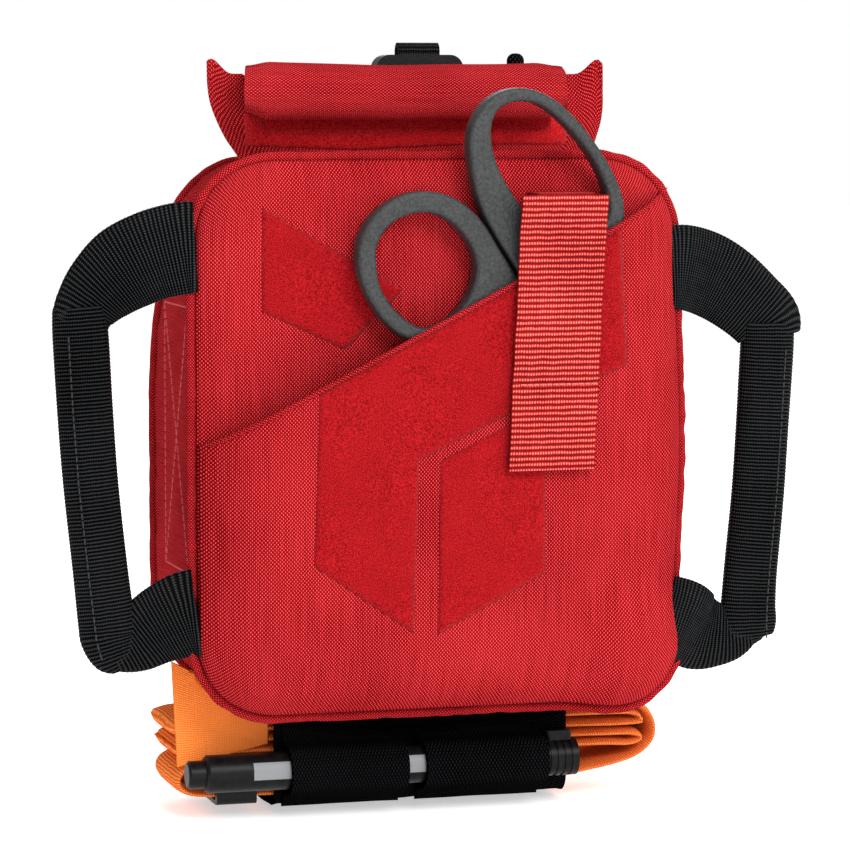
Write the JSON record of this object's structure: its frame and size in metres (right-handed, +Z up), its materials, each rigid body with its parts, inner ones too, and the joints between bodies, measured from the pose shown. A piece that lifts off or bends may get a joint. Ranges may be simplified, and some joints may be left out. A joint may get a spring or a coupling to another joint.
{
  "type": "trauma pouch with windlass tourniquet",
  "caption": "Padded first aid pouch with side grab handles, rolled closure, slant pocket for trauma shears, marker loops and a folded windlass tourniquet held in an elastic sleeve below.",
  "frame": {"origin": "middle of the belt gap, between the back panel and the two belt straps", "axes": "+X along the belt, to the right as seen from the pouch's front; +Y towards the wearer; +Z up"},
  "size_m": [0.263, 0.1116, 0.2639],
  "materials": {
    "red_fabric": "woven nylon, matt",
    "red_loop": "loop pile, matt",
    "red_webbing": "ribbed webbing",
    "red_cord": "bound piping",
    "black_webbing": "ribbed webbing, slight sheen",
    "black_elastic": "knitted elastic",
    "orange_webbing": "fine woven band",
    "black_plastic": "moulded, satin",
    "shears_plastic": "moulded, fine texture",
    "marker_plastic": "gloss",
    "steel": "ground",
    "foam": "closed-cell foam",
    "board": "stiffener sheet",
    "nib": "felt"
  },
  "bodies": {
    "pouch": {"front_panel": "red_fabric", "front_foam": "foam", "gusset": "red_fabric", "neck_sleeve": "red_fabric", "back_panel": "red_fabric", "back_board": "board", "piping_front": "red_cord", "piping_back": "red_cord", "neck_loop_tape": "red_loop", "buckle_strap": "black_webbing", "buckle_male": "black_plastic", "pull_cord": "black_webbing", "pocket_panel": "red_fabric", "loop_patch_upper": "red_loop", "loop_patch_main": "red_loop", "loop_patch_lower": "red_loop", "retention_base": "red_webbing", "holder_sleeve": "black_elastic", "holder_binding": "black_elastic", "pen_loop_left": "black_elastic", "pen_loop_right": "black_elastic", "belt_strap_anchors": "black_webbing", "snap_studs": "steel"},
    "roll_top": {"roll_fold": "red_fabric", "roll_stiffener": "board", "roll_hook_tape": "red_loop", "roll_ear_left": "red_fabric", "roll_ear_right": "red_fabric"},
    "release_buckle": {"buckle_female": "black_plastic", "buckle_tab": "black_webbing"},
    "retention_flap": {"retention_strap": "red_webbing", "retention_hook_tape": "red_loop"},
    "shears": {"shears_long_handle": "shears_plastic", "shears_long_blade": "steel", "shears_pivot_screw": "steel"},
    "shears_ring_half": {"shears_ring_handle": "shears_plastic", "shears_ring_blade": "steel", "shears_tip_guard": "black_plastic"},
    "handle_left": {"handle_strap_left": "black_webbing", "handle_core_left": "foam"},
    "handle_right": {"handle_strap_right": "black_webbing", "handle_core_right": "foam"},
    "marker": {"marker_barrel": "marker_plastic", "marker_end_plug": "marker_plastic", "marker_nib": "nib"},
    "marker_cap": {"marker_cap": "marker_plastic", "marker_clip": "marker_plastic"},
    "tourniquet": {"tourniquet_band": "orange_webbing", "tourniquet_band_end": "orange_webbing", "tourniquet_base_plate": "black_plastic", "windlass_clip": "black_plastic", "windlass_ribbon": "black_webbing", "tourniquet_buckle": "black_plastic", "tourniquet_time_strap": "black_webbing"},
    "windlass": {"windlass_rod": "black_plastic"},
    "belt_strap_left": {"belt_strap_left": "black_webbing", "snap_cap_left": "steel"},
    "belt_strap_right": {"belt_strap_right": "black_webbing", "snap_cap_right": "steel"}
  },
  "joints": [
    {"name": "roll_top_hinge", "type": "hinge", "parent": "pouch", "child": "roll_top", "pos_m": [0, -0.031, 0.1163], "axis": [-1, 0, 0], "range_deg": [0, 88]},
    {"name": "buckle_release", "type": "slide", "parent": "pouch", "child": "release_buckle", "axis": [0, 0, 1], "range_m": [0, 0.025]},
    {"name": "retention_flap_hinge", "type": "hinge", "parent": "pouch", "child": "retention_flap", "pos_m": [0.0386, -0.105, 0.0818], "axis": [-1, 0, 0], "range_deg": [0, 110]},
    {"name": "shears_lift", "type": "slide", "parent": "pouch", "child": "shears", "axis": [0, 0, 1], "range_m": [0, 0.007]},
    {"name": "shears_pivot", "type": "hinge", "parent": "shears", "child": "shears_ring_half", "pos_m": [0.034, -0.0963, 0.036], "axis": [0, -1, 0], "range_deg": [0, 12]},
    {"name": "handle_left_hinge", "type": "hinge", "parent": "pouch", "child": "handle_left", "pos_m": [-0.086, -0.078, 0.005], "axis": [0, 0, -1], "range_deg": [-15, 60]},
    {"name": "handle_right_hinge", "type": "hinge", "parent": "pouch", "child": "handle_right", "pos_m": [0.086, -0.078, -0.005], "axis": [0, 0, 1], "range_deg": [-15, 60]},
    {"name": "marker_slide", "type": "slide", "parent": "pouch", "child": "marker", "axis": [1, 0, 0], "range_m": [0, 0.14]},
    {"name": "marker_cap_slide", "type": "slide", "parent": "marker", "child": "marker_cap", "axis": [1, 0, 0], "range_m": [0, 0.045]},
    {"name": "tourniquet_slide", "type": "slide", "parent": "pouch", "child": "tourniquet", "axis": [-1, 0, 0], "range_m": [0, 0.19]},
    {"name": "windlass_turn", "type": "hinge", "parent": "tourniquet", "child": "windlass", "pos_m": [0, -0.042, -0.1214], "axis": [0, 0, 1], "range_deg": [-6, 6]},
    {"name": "belt_strap_left_hinge", "type": "hinge", "parent": "pouch", "child": "belt_strap_left", "pos_m": [-0.038, 0.0031, 0.0365], "axis": [1, 0, 0], "range_deg": [0, 100]},
    {"name": "belt_strap_right_hinge", "type": "hinge", "parent": "pouch", "child": "belt_strap_right", "pos_m": [0.038, 0.0031, 0.0365], "axis": [1, 0, 0], "range_deg": [0, 100]}
  ]
}
